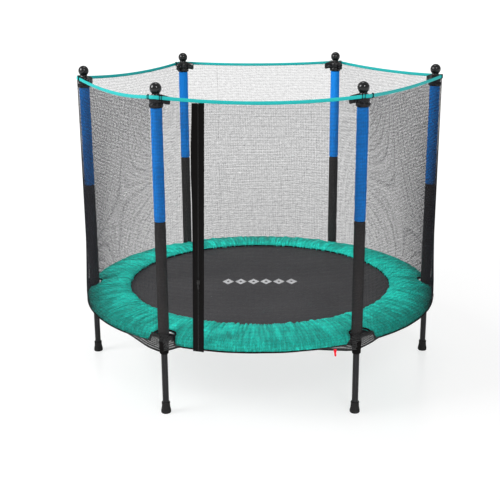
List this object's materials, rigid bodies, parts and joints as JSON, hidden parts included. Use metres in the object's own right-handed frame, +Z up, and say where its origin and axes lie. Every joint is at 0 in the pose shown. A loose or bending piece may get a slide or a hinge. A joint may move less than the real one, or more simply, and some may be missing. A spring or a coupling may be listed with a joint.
{
  "type": "trampoline",
  "caption": "Small round trampoline with a sprung mat, a padded spring cover and a zipped safety net on foam-sleeved posts.",
  "frame": {"origin": "on the floor, under the middle of the mat", "axes": "+Z up, +X through the right-hand one of two opposite posts, the zipped doorway faces -Y"},
  "size_m": [1.412, 1.4069, 1.18],
  "materials": {
    "foot_rubber": "matt moulded rubber",
    "black_paint": "semi-gloss powder coat",
    "sleeve_grey": "coated cloth over foam tube",
    "sleeve_blue": "coated cloth over foam tube",
    "cap_plastic": "glossy moulded plastic",
    "zinc_steel": "zinc plated",
    "mat_weave": "woven polypropylene",
    "black_webbing": "woven tape",
    "pad_cover": "woven cover with a soft sheen, gathered at its edges",
    "net_mesh": "fine knitted mesh",
    "band_tape": "binding tape",
    "label_cloth": "plain woven tag"
  },
  "bodies": {
    "trampoline_frame": {"foot_right": "foot_rubber", "foot_back_right": "foot_rubber", "foot_back_left": "foot_rubber", "foot_left": "foot_rubber", "foot_front_left": "foot_rubber", "foot_front_right": "foot_rubber", "leg_right": "black_paint", "leg_back_right": "black_paint", "leg_back_left": "black_paint", "leg_left": "black_paint", "leg_front_left": "black_paint", "leg_front_right": "black_paint", "pole_right": "black_paint", "pole_back_right": "black_paint", "pole_back_left": "black_paint", "pole_left": "black_paint", "pole_front_left": "black_paint", "pole_front_right": "black_paint", "sleeve_lower_right": "sleeve_grey", "sleeve_lower_back_right": "sleeve_grey", "sleeve_lower_back_left": "sleeve_grey", "sleeve_lower_left": "sleeve_grey", "sleeve_lower_front_left": "sleeve_grey", "sleeve_lower_front_right": "sleeve_grey", "sleeve_upper_right": "sleeve_blue", "sleeve_upper_back_right": "sleeve_blue", "sleeve_upper_back_left": "sleeve_blue", "sleeve_upper_left": "sleeve_blue", "sleeve_upper_front_left": "sleeve_blue", "sleeve_upper_front_right": "sleeve_blue", "cap_right": "cap_plastic", "cap_back_right": "cap_plastic", "cap_back_left": "cap_plastic", "cap_left": "cap_plastic", "cap_front_left": "cap_plastic", "cap_front_right": "cap_plastic", "frame_arc_right_back": "black_paint", "frame_arc_back": "black_paint", "frame_arc_left_back": "black_paint", "frame_arc_left_front": "black_paint", "frame_arc_front": "black_paint", "frame_arc_right_front": "black_paint", "leg_bolt_right": "zinc_steel", "leg_bolt_back_right": "zinc_steel", "leg_bolt_back_left": "zinc_steel", "leg_bolt_left": "zinc_steel", "leg_bolt_front_left": "zinc_steel", "leg_bolt_front_right": "zinc_steel", "springs": "zinc_steel", "pad": "pad_cover", "net": "net_mesh", "top_band": "band_tape", "zip_tape_left": "black_webbing", "zip_tape_right": "black_webbing", "care_label": "label_cloth"},
    "jumping_mat": {"mat": "mat_weave", "mat_webbing": "black_webbing"},
    "slider": {"zip_slider": "zinc_steel"},
    "pull": {"zip_pull": "zinc_steel"}
  },
  "joints": [
    {"name": "mat_bounce", "type": "slide", "parent": "trampoline_frame", "child": "jumping_mat", "axis": [0, 0, 1], "range_m": [-0.12, 0], "stiffness_N_per_m": 4900, "springref_m": 0.002, "deforming": ["springs"]},
    {"name": "zip_slide", "type": "slide", "parent": "trampoline_frame", "child": "slider", "axis": [0.0145, 0.0742, 0.9971], "range_m": [-0.196, 0.585]},
    {"name": "pull_swing", "type": "hinge", "parent": "slider", "child": "pull", "pos_m": [-0.20956, -0.66034, 0.51535], "axis": [-0.99, 0.1414, 0], "range_deg": [0, 150]}
  ]
}
